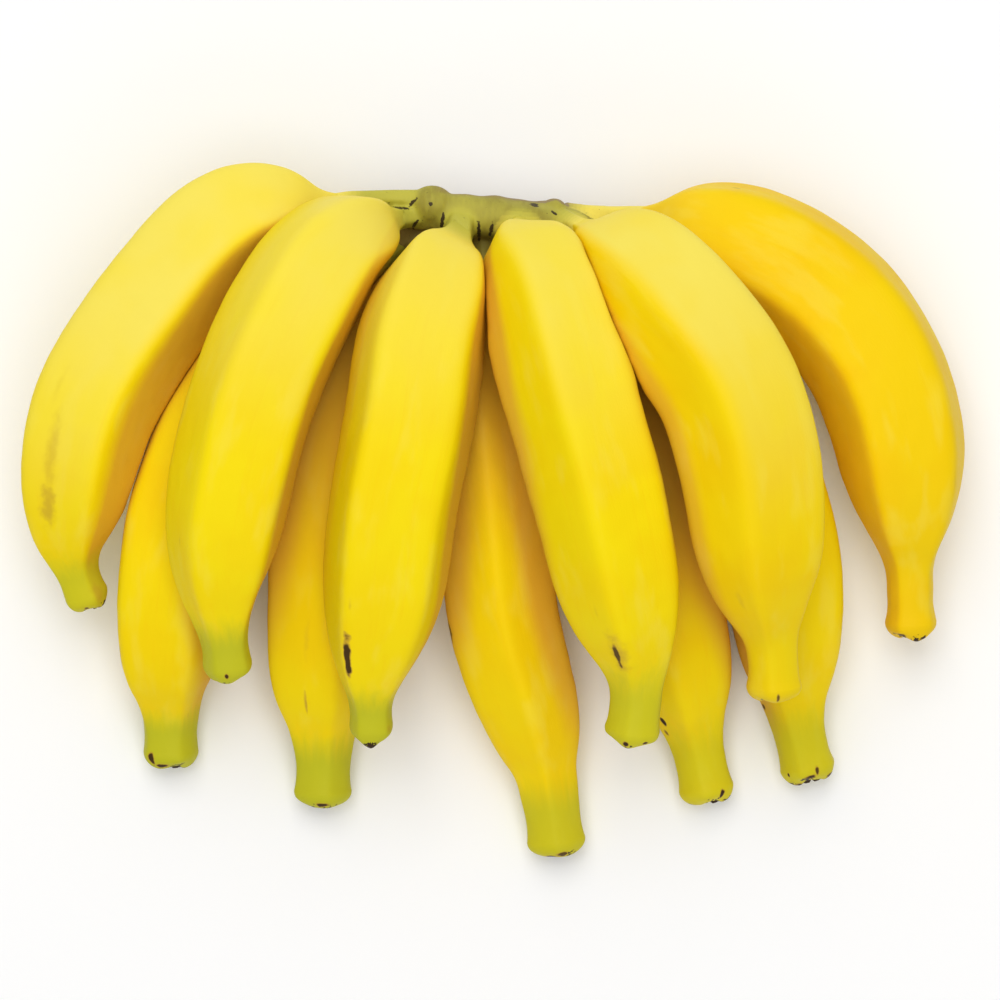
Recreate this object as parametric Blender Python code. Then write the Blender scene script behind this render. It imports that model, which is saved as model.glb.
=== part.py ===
"""A hand of eleven bananas, lying with its hollow side down.

One crown with the stalks of the fruits, and eleven fingers in two rows. +Z is up, +X runs along the
crown and +Y points from the tips to the crown. The front row arches over the back row. The crown and
the tips of the back row stand on the ground plane z = 0. The origin is the middle of the bounding box,
on the ground.
"""

from collections import namedtuple

import bmesh
import bpy
import numpy as np

# Driving dimensions, in millimetres
MM = 0.001
PRESS_GAP = 0.6  # left between two fingers that press on each other
SEAM_GAP = 0.4  # left between a stalk's end and its finger
TIP_END = 1.8  # length of the rounding at the very end of a finger
CROWN_MIDDLE = (2.0, 86.0, 14.5)
CROWN_HALF = (33.0, 6.5, 17.0)
CROWN_SLOPE = -0.10  # the crown's right end is nearer to the tips

# Resolution
FACES = 5  # a banana has five soft faces with a ridge between each two
SIDES = 20
RINGS = 25
STALK_SIDES = 12
STALK_RINGS = 5
PAD_SIDES = 16
PAD_RINGS = 13
SPINE_SAMPLES = 160
RIDGE_POWER = 8  # higher is sharper
PRESS_STEPS = 14

# A finger's own radius, the length and the radius of its stalk and of its narrow tip, the turn of its
# ridges in degrees from the top, and its spine from inside the crown to the tip. Millimetres.
Finger = namedtuple("Finger", "radius stalk stalk_radius tip tip_radius turn spine")

# The fingers from left to right, the front row first
FINGERS = {
    "finger_front_1": Finger(
        radius=17.6, stalk=31, stalk_radius=2.5, tip=14, tip_radius=6.2, turn=21, spine=[
            (-15, 90, 25), (-25, 91.5, 27), (-37.5, 91.5, 28), (-50, 90.9, 30), (-69.8, 86, 34),
            (-94, 64.4, 37), (-114, 31.8, 38), (-120.8, 4, 34), (-121.5, -11, 29), (-116.5, -27.5, 23)]),
    "finger_front_2": Finger(
        radius=17.1, stalk=18, stalk_radius=3.2, tip=16, tip_radius=6.9, turn=42, spine=[
            (-15, 87.5, 23), (-25.5, 87.5, 28), (-33, 83, 38), (-42, 75.5, 49), (-53, 60.5, 58),
            (-66.5, 32, 61), (-73.5, 4, 59), (-76.7, -21.5, 53), (-75.9, -36, 48), (-74.7, -47.5, 44)]),
    "finger_front_3": Finger(
        radius=18, stalk=14, stalk_radius=4.2, tip=13, tip_radius=6, turn=-30, spine=[
            (-8.5, 88, 22), (-10, 82, 32), (-13.5, 73.5, 42), (-16, 63, 53), (-19, 50, 59),
            (-22.5, 29.5, 61), (-27.5, 4, 60), (-31, -24.5, 53), (-34.1, -47.5, 46), (-34.5, -65.5, 40)]),
    "finger_front_4": Finger(
        radius=18.9, stalk=13, stalk_radius=4, tip=21, tip_radius=7.2, turn=-13, spine=[
            (9, 88, 22), (8.5, 83.5, 31), (10.5, 75, 42), (14.5, 65.5, 52), (18.5, 52, 59),
            (24.5, 29.5, 62), (31, 4, 60), (36.5, -24.5, 54), (40, -46, 47), (40.7, -66, 41)]),
    "finger_front_5": Finger(
        radius=19.3, stalk=16, stalk_radius=3, tip=20, tip_radius=7.5, turn=-4, spine=[
            (15.5, 88, 22), (24.5, 83.5, 30), (32, 78, 41), (41, 70, 51), (52, 57.5, 59), (65.2, 37.2, 63),
            (73.4, 9.6, 61), (77, -18.5, 54), (80, -37.5, 48), (81, -53.5, 44)]),
    "finger_front_6": Finger(
        radius=19.1, stalk=29, stalk_radius=2.6, tip=22, tip_radius=6.9, turn=-32, spine=[
            (16, 88, 20), (29, 87.8, 21), (39, 87.2, 22), (50.5, 85, 25), (73, 79.5, 28), (99, 60.5, 30),
            (115.3, 34.8, 31), (120.9, 7, 28), (122.5, -13.5, 23), (123.6, -36.5, 19)]),
    "finger_back_1": Finger(
        radius=17.4, stalk=14, stalk_radius=3.4, tip=18, tip_radius=8.1, turn=20, spine=[
            (-15, 86, 12), (-35.5, 74, 16), (-58, 55, 22), (-77.5, 30, 25), (-88, 4, 25),
            (-93.3, -25, 21), (-95.3, -46, 15), (-95.3, -59.5, 8.5), (-95.2, -75.5, 5.5)]),
    "finger_back_2": Finger(
        radius=17.1, stalk=12, stalk_radius=3.4, tip=18, tip_radius=8, turn=10, spine=[
            (-10.5, 85.5, 14), (-21, 71.5, 16), (-31, 50.5, 22), (-41, 24.5, 27), (-45.5, -2, 27),
            (-47.6, -28, 22), (-49.8, -52, 14), (-49.6, -68.5, 8.5), (-50, -86.5, 5.5)]),
    "finger_back_3": Finger(
        radius=16.3, stalk=11, stalk_radius=3.4, tip=22, tip_radius=7.9, turn=0, spine=[
            (-2, 84.5, 17), (-2.5, 70, 19), (-3.5, 49.5, 22), (-2.5, 24.5, 27), (0.5, -4.5, 27),
            (5.1, -34, 22), (10.1, -57.5, 14), (15.8, -80, 8.5), (19.2, -101, 5.5)]),
    "finger_back_4": Finger(
        radius=17.6, stalk=12, stalk_radius=3.4, tip=20, tip_radius=7.6, turn=-10, spine=[
            (6.5, 85.5, 14), (13, 71.5, 16), (22.5, 52, 22), (33.5, 27.5, 25), (42, 1, 25),
            (50.3, -26.5, 21), (56, -49, 14), (60, -65.5, 8.5), (63.6, -85.5, 5.5)]),
    "finger_back_5": Finger(
        radius=17.2, stalk=18, stalk_radius=3.4, tip=21, tip_radius=7.7, turn=-20, spine=[
            (15.5, 86, 12), (29, 76.5, 15), (49.5, 61, 20), (68, 37.5, 24), (80.2, 7, 24), (87, -25, 20),
            (88.6, -44.5, 14), (89.8, -60.5, 9), (93.6, -79, 6)]),
}


def smooth(knots, values, at):
    """Natural cubic spline through the values at the knots, read at the places asked for."""
    knots = np.asarray(knots, float)
    values = np.asarray(values, float).reshape(len(knots), -1)
    steps = np.diff(knots)[:, None]
    slopes = np.diff(values, axis=0) / steps
    matrix = np.eye(len(knots))
    right = np.zeros_like(values)
    for i in range(1, len(knots) - 1):
        matrix[i, i - 1 : i + 2] = steps[i - 1, 0], 2 * (steps[i - 1, 0] + steps[i, 0]), steps[i, 0]
        right[i] = 6 * (slopes[i] - slopes[i - 1])
    bend = np.linalg.solve(matrix, right)
    i = np.clip(np.searchsorted(knots, at, side="right") - 1, 0, len(knots) - 2)
    step = steps[i]
    after = (at - knots[i])[:, None]
    before = (knots[i + 1] - at)[:, None]
    curve = (bend[i] * before**3 + bend[i + 1] * after**3) / (6 * step)
    start = (values[i] / step - bend[i] * step / 6) * before
    return curve + start + (values[i + 1] / step - bend[i + 1] * step / 6) * after


def columns(lengths, table, at):
    """Each column of a table read at the places asked for."""
    return np.stack([np.interp(at, lengths, column) for column in table.T], axis=1)


def spine_curve(points):
    """The spine at evenly spaced lengths: the lengths from its start, and the places."""
    points = np.asarray(points, float)
    knots = np.concatenate([[0.0], np.cumsum(np.linalg.norm(np.diff(points, axis=0), axis=1))])
    dense = smooth(knots, points, np.linspace(0, knots[-1], 4 * SPINE_SAMPLES))
    along = np.concatenate([[0.0], np.cumsum(np.linalg.norm(np.diff(dense, axis=0), axis=1))])
    lengths = np.linspace(0, along[-1], SPINE_SAMPLES)
    return lengths, columns(along, dense, lengths)


def radius_along(finger, lengths):
    """A finger's radius: a thin stalk, a full body and a bottle-neck tip."""
    full, thin, tip = finger.radius, finger.stalk_radius, finger.tip_radius
    neck = finger.stalk
    end = lengths[-1]
    body = end - finger.tip
    stations = [
        (0, thin), (neck - 3, thin), (neck + 4, 0.8 * thin + 0.14 * full), (neck + 10, 0.51 * full),
        (neck + 18, 0.74 * full), (neck + 27, 0.89 * full), (neck + 40, 0.98 * full),
        ((neck + body) / 2, full), (body - 40, 0.965 * full), (body - 26, 0.88 * full),
        (body - 16, 0.74 * full), (body - 8, 0.57 * full), (body, 0.86 * tip + 0.08 * full),
        (end - 0.6 * finger.tip, 0.97 * tip), (end - 0.3 * finger.tip, 1.03 * tip),
        (end - TIP_END, 0.93 * tip), (end, 0.55 * tip)]
    knots, radii = zip(*stations)
    return smooth(knots, radii, lengths)[:, 0]


def ridges(angles, turn):
    """How far a five-sided section with soft ridges stands out in each direction, 1.0 on average."""
    sides = np.radians(turn + 180 / FACES + 360 / FACES * np.arange(FACES))
    facing = np.maximum(np.cos(angles[:, None] - sides), 0.0)
    shape = (facing**RIDGE_POWER).sum(axis=1) ** (-1 / RIDGE_POWER)
    return shape / shape.mean()


def grown(finger):
    """A finger as balls along its spine, and which of them are its stalk."""
    lengths, places = spine_curve(finger.spine)
    return {
        "lengths": lengths, "places": places, "radii": radius_along(finger, lengths),
        "is_stalk": lengths < finger.stalk - SEAM_GAP}


def rings_along(grow, turn, stations, sides):
    """Rings of points round the spine at the given lengths, and each ring's middle."""
    lengths, places = grow["lengths"], grow["places"]
    middles = columns(lengths, places, stations)
    forward = columns(lengths, np.gradient(places, lengths, axis=0), stations)
    forward /= np.linalg.norm(forward, axis=1)[:, None]
    sideways = np.cross((0.0, 0.0, 1.0), forward)
    sideways /= np.linalg.norm(sideways, axis=1)[:, None]
    upward = np.cross(forward, sideways)
    angles = 2 * np.pi * np.arange(sides) / sides + np.radians(turn)
    across = sideways[:, None] * np.sin(angles)[None, :, None]
    out = across + upward[:, None] * np.cos(angles)[None, :, None]
    reach = np.interp(stations, lengths, grow["radii"])[:, None] * ridges(angles, turn)
    return middles[:, None] + out * reach[..., None], middles


def clearance(points, grow, chosen):
    """How far each point is outside the chosen balls of a finger; negative inside."""
    distances = np.linalg.norm(points[:, None] - grow["places"][chosen][None], axis=2)
    return (distances - grow["radii"][chosen]).min(axis=1)


def press(rings, middles, own, others):
    """Draws the points of a finger back towards its spine where it would run into its neighbours.

    Two fingers meet where both are equally far, so each gets a flat there. A stalk doesn't give way.
    What would sink into the ground is flat too.
    """
    centres = np.broadcast_to(middles[:, None], rings.shape).reshape(-1, 3)
    reach = rings.reshape(-1, 3) - centres
    keep = np.ones(len(reach))

    def room(share, chosen, other):
        points = centres[chosen] + reach[chosen] * share[:, None]
        body = clearance(points, other, ~other["is_stalk"]) - clearance(points, own, slice(None))
        return np.minimum(body, clearance(points, other, other["is_stalk"])) - PRESS_GAP

    for other in others:
        chosen = np.flatnonzero(room(keep, slice(None), other) < 0)
        low = np.zeros(len(chosen))
        high = keep[chosen]
        for _ in range(PRESS_STEPS):
            half = (low + high) / 2
            free = room(half, chosen, other) > 0
            low = np.where(free, half, low)
            high = np.where(free, high, half)
        keep[chosen] = low
    pressed = (centres + reach * keep[:, None]).reshape(rings.shape)
    pressed[..., 2] = np.maximum(pressed[..., 2], 0.0)
    return pressed


def skinned(name, rings, ends, finish):
    """A closed object skinned over rings, with a fan over each end."""
    model = bmesh.new()
    rows = [[model.verts.new(point * MM) for point in ring] for ring in rings]
    for near, far in zip(rows, rows[1:]):
        for i in range(len(near)):
            model.faces.new((near[i - 1], near[i], far[i], far[i - 1]))
    for row, end in ((rows[0][::-1], ends[0]), (rows[-1], ends[1])):
        centre = model.verts.new(end * MM)
        for i in range(len(row)):
            model.faces.new((row[i - 1], row[i], centre))
    bmesh.ops.triangulate(model, faces=model.faces[:])
    bmesh.ops.recalc_face_normals(model, faces=model.faces[:])
    mesh = bpy.data.meshes.new(name)
    model.to_mesh(mesh)
    model.free()
    mesh.shade_smooth()
    mesh.materials.append(finish)
    item = bpy.data.objects.new(name, mesh)
    bpy.context.scene.collection.objects.link(item)
    return item


def crown_pad(finish):
    """The cushion that the stalks grow from: a bar with a rounded square section and a flat underside."""
    angles = 2 * np.pi * np.arange(PAD_SIDES) / PAD_SIDES
    across = np.sign(np.cos(angles)) * np.abs(np.cos(angles)) ** 0.7
    upward = np.sign(np.sin(angles)) * np.abs(np.sin(angles)) ** 0.7
    rings = []
    for step in 0.985 * np.sin(np.linspace(-1, 1, PAD_RINGS) * np.pi / 2):
        size = (1 - abs(step) ** 3) ** 0.4
        along = np.full(PAD_SIDES, step * CROWN_HALF[0])
        rings.append(np.stack([
            CROWN_MIDDLE[0] + along,
            CROWN_MIDDLE[1] + CROWN_SLOPE * along + size * CROWN_HALF[1] * across,
            np.maximum(CROWN_MIDDLE[2] + size * CROWN_HALF[2] * upward, 0.0)], axis=1))
    return skinned("crown", np.array(rings), (rings[0].mean(axis=0), rings[-1].mean(axis=0)), finish)


def build_crown(hand, finish):
    """The pad and all stalks, joined into one solid."""
    stalks = bpy.data.collections.new("stalks")
    for name, finger in FINGERS.items():
        stations = np.linspace(0.0, finger.stalk - SEAM_GAP, STALK_RINGS)
        rings, middles = rings_along(hand[name], finger.turn, stations, STALK_SIDES)
        stalk = skinned(name + "_stalk", rings, middles[[0, -1]], finish)
        bpy.context.scene.collection.objects.unlink(stalk)
        stalks.objects.link(stalk)
    crown = crown_pad(finish)
    join = crown.modifiers.new("join", "BOOLEAN")
    join.operation = "UNION"
    join.operand_type = "COLLECTION"
    join.collection = stalks
    join.solver = "EXACT"
    evaluated = crown.evaluated_get(bpy.context.evaluated_depsgraph_get())
    joined = bpy.data.meshes.new_from_object(evaluated)
    crown.modifiers.clear()
    crown.data = joined
    for stalk in list(stalks.objects):
        bpy.data.objects.remove(stalk)
    bpy.data.collections.remove(stalks)


def build_finger(name, hand, finish):
    """One fruit from where its stalk ends to the blossom scar."""
    finger = FINGERS[name]
    own = hand[name]
    end = own["lengths"][-1]
    stations = np.append(np.linspace(finger.stalk, end - TIP_END, RINGS - 1), end)
    rings, middles = rings_along(own, finger.turn, stations, SIDES)
    rings = press(rings, middles, own, [grow for other, grow in hand.items() if other != name])
    skinned(name, rings, (middles[0], rings[-1].mean(axis=0)), finish)


def finish_of(name, colour, roughness):
    material = bpy.data.materials.new(name)
    material.use_nodes = True
    shader = material.node_tree.nodes["Principled BSDF"]
    shader.inputs["Base Color"].default_value = (*colour, 1.0)
    shader.inputs["Roughness"].default_value = roughness
    shader.inputs["Metallic"].default_value = 0.0
    return material


def main():
    for item in list(bpy.data.objects):
        bpy.data.objects.remove(item)
    hand = {name: grown(finger) for name, finger in FINGERS.items()}
    build_crown(hand, finish_of("green_stalk", (0.36, 0.38, 0.07), 0.6))
    for name in FINGERS:
        build_finger(name, hand, finish_of(name + "_peel", (0.92, 0.68, 0.05), 0.5))


main()
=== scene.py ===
# %% [markdown]
# # A hand of bananas
#
# A banana plant carries its fruit in hands: two rows of fingers that grow from one green
# cushion, the crown. This notebook dresses the CAD model of such a hand. Each finger and the
# crown get a fine surface that keeps the form of its CAD node, and a peel or a wood that is
# worked out by nodes.
#
# The CAD model is loaded first. It is the frame that every piece has to fit.

# %% Load the frame
from collections import namedtuple

import bpy
import numpy as np
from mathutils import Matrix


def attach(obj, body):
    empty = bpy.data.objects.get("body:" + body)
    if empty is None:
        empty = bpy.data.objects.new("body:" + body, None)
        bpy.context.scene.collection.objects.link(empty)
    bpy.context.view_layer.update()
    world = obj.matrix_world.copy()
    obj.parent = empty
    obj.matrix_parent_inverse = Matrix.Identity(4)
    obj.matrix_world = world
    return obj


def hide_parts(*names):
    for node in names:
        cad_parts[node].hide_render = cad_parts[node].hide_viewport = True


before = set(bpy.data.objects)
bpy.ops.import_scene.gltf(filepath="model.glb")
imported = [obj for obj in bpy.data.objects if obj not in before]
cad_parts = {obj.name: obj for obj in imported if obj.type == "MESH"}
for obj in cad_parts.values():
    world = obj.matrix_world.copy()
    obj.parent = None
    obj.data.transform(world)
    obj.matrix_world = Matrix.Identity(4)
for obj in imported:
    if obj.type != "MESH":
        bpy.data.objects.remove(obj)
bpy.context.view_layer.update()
scene = bpy.context.scene
MM = 0.001  # the tables below are in millimetres, Blender works in metres
print("nodes:", ", ".join(sorted(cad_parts)))

# %% [markdown]
# ## Camera
#
# The hand lies on its hollow side and the camera looks straight down on it. A Blender camera
# that isn't turned looks along -Z with +Y up, so it only has to be lifted. A long lens far away
# keeps the fingers near the camera from looking larger than the others. Yellow this strong turns
# pale in the filmic views, so the plain one is used.

# %% Camera
CAMERA_AT = (2.6, 4.0, 1200.0)
FOCAL_LENGTH = 145.3
SENSOR_WIDTH = 36.0
SEEN_FROM, SEEN_TO = 0.05, 20.0  # metres in front of the camera

lens = bpy.data.cameras.new("camera")
lens.lens = FOCAL_LENGTH
lens.sensor_width = SENSOR_WIDTH
lens.clip_start, lens.clip_end = SEEN_FROM, SEEN_TO
camera = bpy.data.objects.new("camera", lens)
camera.location = [value * MM for value in CAMERA_AT]
scene.collection.objects.link(camera)
scene.camera = camera
scene.view_settings.view_transform = "Standard"
print("camera at", tuple(round(value, 4) for value in camera.location), "m")

# %% [markdown]
# ## The fingers in numbers
#
# A banana is a soft five-sided section carried along a bent spine, so a few numbers hold one
# finger: how thick it is, how long and thick its stalk and its bottle-neck tip are, how its
# ridges are turned, and the points of its spine from the crown to the tip. The last four numbers
# before the spine are for the peel: how far the green of the stalk reaches, how green the tip
# is, how golden the whole finger is, and how far along it, from 0 to 1, the pale bloom and
# painted sheen of its shoulder reach.

# %% The fingers in numbers
Finger = namedtuple(
    "Finger",
    "radius stalk stalk_radius tip tip_radius turn green_to green_tip gold bloom spine")

FINGERS = {
    "finger_front_1": Finger(17.6, 31, 2.5, 14.5, 6.2, 21, 26, 0.8, 0.15, 0.88, [
        (-15, 90, 25), (-25, 91.5, 27), (-37.5, 91.2, 28), (-50, 89.7, 30), (-69.4, 86.4, 34),
        (-93.5, 63.9, 37), (-114, 31.8, 38), (-120.8, 4, 34), (-121.5, -11, 29),
        (-116.5, -27.5, 23)]),
    "finger_front_2": Finger(17.1, 15, 3.2, 15, 6.8, 42, 18, 1.0, 0.1, 0.6, [
        (-15, 87.5, 23), (-25.2, 86.2, 28), (-34.2, 82.5, 38), (-43.8, 76, 49), (-54.2, 60.5, 58),
        (-66.5, 32, 61), (-73.5, 4, 59), (-76.7, -21.5, 53), (-75.9, -36, 48),
        (-74.7, -47.5, 44)]),
    "finger_front_3": Finger(18, 14, 4.2, 13.5, 6.2, -30, 20, 1.0, 0.1, 0.5, [
        (-8.5, 88, 22), (-9.5, 81.5, 32), (-12.9, 72.5, 42), (-16.1, 62, 53), (-19.6, 50, 59),
        (-22.5, 29.5, 61), (-27.5, 4, 60), (-31, -24.5, 53), (-34.2, -47.5, 46),
        (-34.2, -65.5, 40)]),
    "finger_front_4": Finger(18.9, 8, 4, 19, 7.6, -13, 11, 0.8, 0.15, 0.58, [
        (9, 88, 22), (8.5, 80.6, 31), (10.6, 72.8, 42), (14.5, 64.6, 52), (18.5, 51.6, 59),
        (24.5, 29.5, 62), (31.5, 4, 60), (37.9, -24.5, 54), (41.7, -46, 47), (40.1, -66, 41)]),
    "finger_front_5": Finger(20.1, 16, 3, 20, 7.5, -4, 12, 0.15, 0.55, 0.72, [
        (15.5, 88, 22), (24.8, 83.2, 30), (32.6, 75.8, 41), (41, 67.8, 51), (51.4, 56.4, 59),
        (64.8, 37.8, 63), (73.3, 10, 61), (76.7, -18.5, 54), (80, -37.5, 48), (81, -53.5, 44)]),
    "finger_front_6": Finger(19.4, 29, 2.6, 23, 6.9, -32, 9, 0.1, 0.8, 0.2, [
        (16, 88, 20), (29, 87.8, 21), (39, 87.2, 22), (50.5, 86, 25), (72.5, 78.3, 28),
        (99.1, 60.8, 30), (115.3, 34.8, 31), (120.7, 7, 28), (122.1, -13.5, 23),
        (123.1, -36.5, 19)]),
    "finger_back_1": Finger(17.5, 14, 3.4, 15.5, 8, 20, 24, 1.0, 0.3, 0.3, [
        (-15, 86, 12), (-35.5, 74, 16), (-58, 55, 22), (-77.5, 30, 25), (-88, 4, 25),
        (-93.2, -25, 21), (-94.7, -46, 15), (-94.9, -59.5, 8.5), (-94.9, -75.2, 5.5)]),
    "finger_back_2": Finger(17.1, 12, 3.4, 18, 8, 10, 24, 1.0, 0.35, 0.3, [
        (-10.5, 85.5, 14), (-21, 71.5, 16), (-31, 50.5, 22), (-41, 24.5, 27), (-45.5, -2, 27),
        (-47.3, -28, 22), (-49.4, -52, 14), (-49.6, -68.5, 8.5), (-50, -86.5, 5.5)]),
    "finger_back_3": Finger(15.4, 11, 3.4, 18, 8.2, 0, 22, 0.8, 0.5, 0.3, [
        (-2, 84.5, 17), (-2.5, 70, 19), (-3.5, 49.5, 22), (-2.5, 24.5, 27), (0.5, -4.5, 27),
        (4.2, -34, 22), (11.2, -57.5, 14), (16.6, -80, 8.5), (19.7, -101, 5.5)]),
    "finger_back_4": Finger(17.6, 12, 3.4, 20, 7.6, -10, 22, 0.6, 0.25, 0.3, [
        (6.5, 85.5, 14), (13, 71.5, 16), (22.5, 52, 22), (33.5, 27.5, 25), (42, 1, 25),
        (49.9, -26.5, 21), (56.4, -49, 14), (60.4, -65.5, 8.5), (64.7, -85.5, 5.5)]),
    "finger_back_5": Finger(17.4, 18, 3.4, 19, 7.8, -20, 24, 0.7, 0.35, 0.3, [
        (15.5, 86, 12), (29, 76.5, 15), (49.5, 61, 20), (68, 37.5, 24), (80.2, 7, 24),
        (86.5, -25, 20), (88, -44.5, 14), (90.3, -60.5, 9), (94.8, -79, 6)]),
}
spine_points = sum(len(finger.spine) for finger in FINGERS.values())
print(len(FINGERS), "fingers,", spine_points, "spine points")

# %% [markdown]
# ## A smooth curve through points
#
# The spine and the radius of a finger both run through a handful of points. Straight lines
# between them would show as kinks, so a natural cubic spline is put through them: the curve that
# a thin springy ruler would take. Blender's own curves could carry a tube too, but their bevel
# is one fixed section, and a banana's section changes all the way.


# %% A smooth curve through points
def smooth(knots, values, at):
    """Natural cubic spline through the values at the knots, read at the places asked for.

    Each stretch is a cubic. The bends at the knots are the solution of one small set of
    equations that makes neighbouring stretches share their slope, with no bend at the two ends.
    """
    knots = np.asarray(knots, float)
    values = np.asarray(values, float).reshape(len(knots), -1)
    steps = np.diff(knots)[:, None]
    slopes = np.diff(values, axis=0) / steps
    matrix = np.eye(len(knots))
    right = np.zeros_like(values)
    for i in range(1, len(knots) - 1):
        before, after = steps[i - 1, 0], steps[i, 0]
        matrix[i, i - 1 : i + 2] = before, 2 * (before + after), after
        right[i] = 6 * (slopes[i] - slopes[i - 1])
    bend = np.linalg.solve(matrix, right)
    i = np.clip(np.searchsorted(knots, at, side="right") - 1, 0, len(knots) - 2)
    step = steps[i]
    after = (at - knots[i])[:, None]
    before = (knots[i + 1] - at)[:, None]
    curve = (bend[i] * before**3 + bend[i + 1] * after**3) / (6 * step)
    start = (values[i] / step - bend[i] * step / 6) * before
    return curve + start + (values[i + 1] / step - bend[i + 1] * step / 6) * after


def columns(knots, table, at):
    """Each column of a table, read along its rows with straight steps between them."""
    return np.stack([np.interp(at, knots, column) for column in table.T], axis=1)


def travelled(points):
    """The way along a chain of points, from 0 at the first to its whole length at the last."""
    return np.concatenate([[0.0], np.cumsum(np.linalg.norm(np.diff(points, axis=0), axis=1))])


hump = smooth([0, 1, 2], [0, 1, 0], np.array([0.5]))[0, 0]
print(f"half-way up a hump of height 1 the curve stands at {hump:.3f}")

# %% [markdown]
# ## Spine and radius
#
# Along its spine a finger is a row of balls. The thin stalk swells into the shoulder, the body
# keeps nearly one girth, and then it tapers into a short bottle neck that ends in a soft lip.
# The shoulder and the taper are equally long on every finger and only the body between them
# stretches, because that is how the long and the short fingers of one hand differ.

# %% Spine and radius
SAMPLES = 160
SHOULDER = ((10, 0.51), (18, 0.74), (27, 0.89), (40, 0.98))  # mm past the stalk, share of radius
TAPER = ((40, 0.965), (26, 0.88), (16, 0.74), (8, 0.57))  # mm before the neck, share of radius
LIP = ((0.6, 0.97), (0.3, 1.03))  # share of the neck still to come, share of the neck's radius


def grown(finger):
    """A finger as a row of balls: their lengths along the spine, their places and their radii."""
    points = np.asarray(finger.spine, float)
    knots = travelled(points)
    dense = smooth(knots, points, np.linspace(0, knots[-1], 4 * SAMPLES))
    along = travelled(dense)
    lengths = np.linspace(0, along[-1], SAMPLES)
    full, thin, tip, stalk = finger.radius, finger.stalk_radius, finger.tip_radius, finger.stalk
    end = lengths[-1]
    neck = end - finger.tip
    knots, radii = zip(
        (0, thin), (stalk - 3, thin), (stalk + 4, 0.8 * thin + 0.14 * full),
        *((stalk + far, share * full) for far, share in SHOULDER),
        ((stalk + neck) / 2, full),
        *((neck - far, share * full) for far, share in TAPER),
        (neck, 0.86 * tip + 0.08 * full),
        *((end - left * finger.tip, share * tip) for left, share in LIP),
        (end - 1.8, 0.93 * tip), (end, 0.55 * tip))
    return {
        "lengths": lengths, "places": columns(along, dense, lengths),
        "radii": smooth(knots, radii, lengths)[:, 0], "stalk": lengths < finger.stalk}


HAND = {name: grown(finger) for name, finger in FINGERS.items()}
for name, grow in HAND.items():
    print(f"{name}: {grow['lengths'][-1]:.0f} mm long, {2 * grow['radii'].max():.1f} mm thick")

# %% [markdown]
# ## The section and its ridges
#
# A young banana is nearly square-edged, and a ripe one has five soft ridges with flats between
# them. The section is the corner-rounded pentagon that the power mean of five half planes gives:
# a high power gives a sharp ridge. No two of its flats are equally wide, so each is turned a
# little by a seeded random number.


# %% The section and its ridges
FACES = 5
RIDGE_POWER = 12
MOST_TURNED = 6  # degrees by which a flat may be turned


def ease(low, high, value):
    """Smooth step, 3t^2 - 2t^3: 0 at low and 1 at high. It runs down if low is the larger one."""
    share = np.clip((value - low) / (high - low), 0, 1)
    return share * share * (3 - 2 * share)


def section(angles, turn, chance):
    """How far the section reaches in each direction, 1 on average, in radians from the top.

    It is (sum of cos(angle - side)^power)^(-1 / power), over the sides that face the angle.
    """
    jitter = np.radians(chance.uniform(-MOST_TURNED, MOST_TURNED, FACES))
    sides = np.radians(turn + 180 / FACES + 360 / FACES * np.arange(FACES)) + jitter
    facing = np.maximum(np.cos(angles[:, None] - sides), 0.0)
    shape = (facing**RIDGE_POWER).sum(axis=1) ** (-1 / RIDGE_POWER)
    return shape / shape.mean()


sample = section(np.radians(np.arange(0, 360, 3.0)), 0.0, np.random.default_rng(1))
print(f"the section reaches from {sample.min():.3f} to {sample.max():.3f} of the radius")

# %% [markdown]
# ## Uneven skin
#
# Nothing that grows is quite even. A noise texture could push the surface about, but a few sine
# waves in random directions are enough for soft swellings without a pattern that the eye finds.
# They are smooth, quick, and the same in every run when their numbers are seeded.


# %% Uneven skin
def waves(points, chance, size, count=9):
    """Soft unevenness round 0, mostly between -1 and 1: a sum of waves in random directions.

    Each wave is sin(direction . point + phase), with a wavelength near the size asked for.
    """
    directions = chance.normal(size=(3, count))
    lengths = size * chance.uniform(0.7, 1.6, count)
    directions *= 2 * np.pi / (lengths * np.linalg.norm(directions, axis=0))
    phases = chance.uniform(0, 2 * np.pi, count)
    return np.sin(points @ directions + phases).sum(axis=-1) / count**0.5


sample = waves(np.random.default_rng(1).uniform(0, 100, (500, 3)), np.random.default_rng(2), 20)
print(f"{np.mean(np.abs(sample) < 1):.0%} of the unevenness is between -1 and 1")

# %% [markdown]
# ## Fingers that press on each other
#
# The fingers of a hand grow up against each other, so each has flats where its neighbours were.
# Two tubes that only crossed would show a hard seam. Instead every point of a finger is drawn
# back towards its spine until it is as far from the neighbour's skin as from its own. That share
# is found by halving, on a coarse grid, and read back smoothly on the fine one.

# %% Fingers that press on each other
PRESS_GAP = 0.2
PRESS_FROM = 12  # fingers whose skins are further apart than this leave each other alone
HALVINGS = 12


def clearance(points, grow, chosen=slice(None)):
    """How far each point is outside the chosen balls of a finger; negative inside."""
    reach = points[:, None] - grow["places"][chosen][None]
    return (np.sqrt((reach**2).sum(axis=2)) - grow["radii"][chosen]).min(axis=1)


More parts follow.
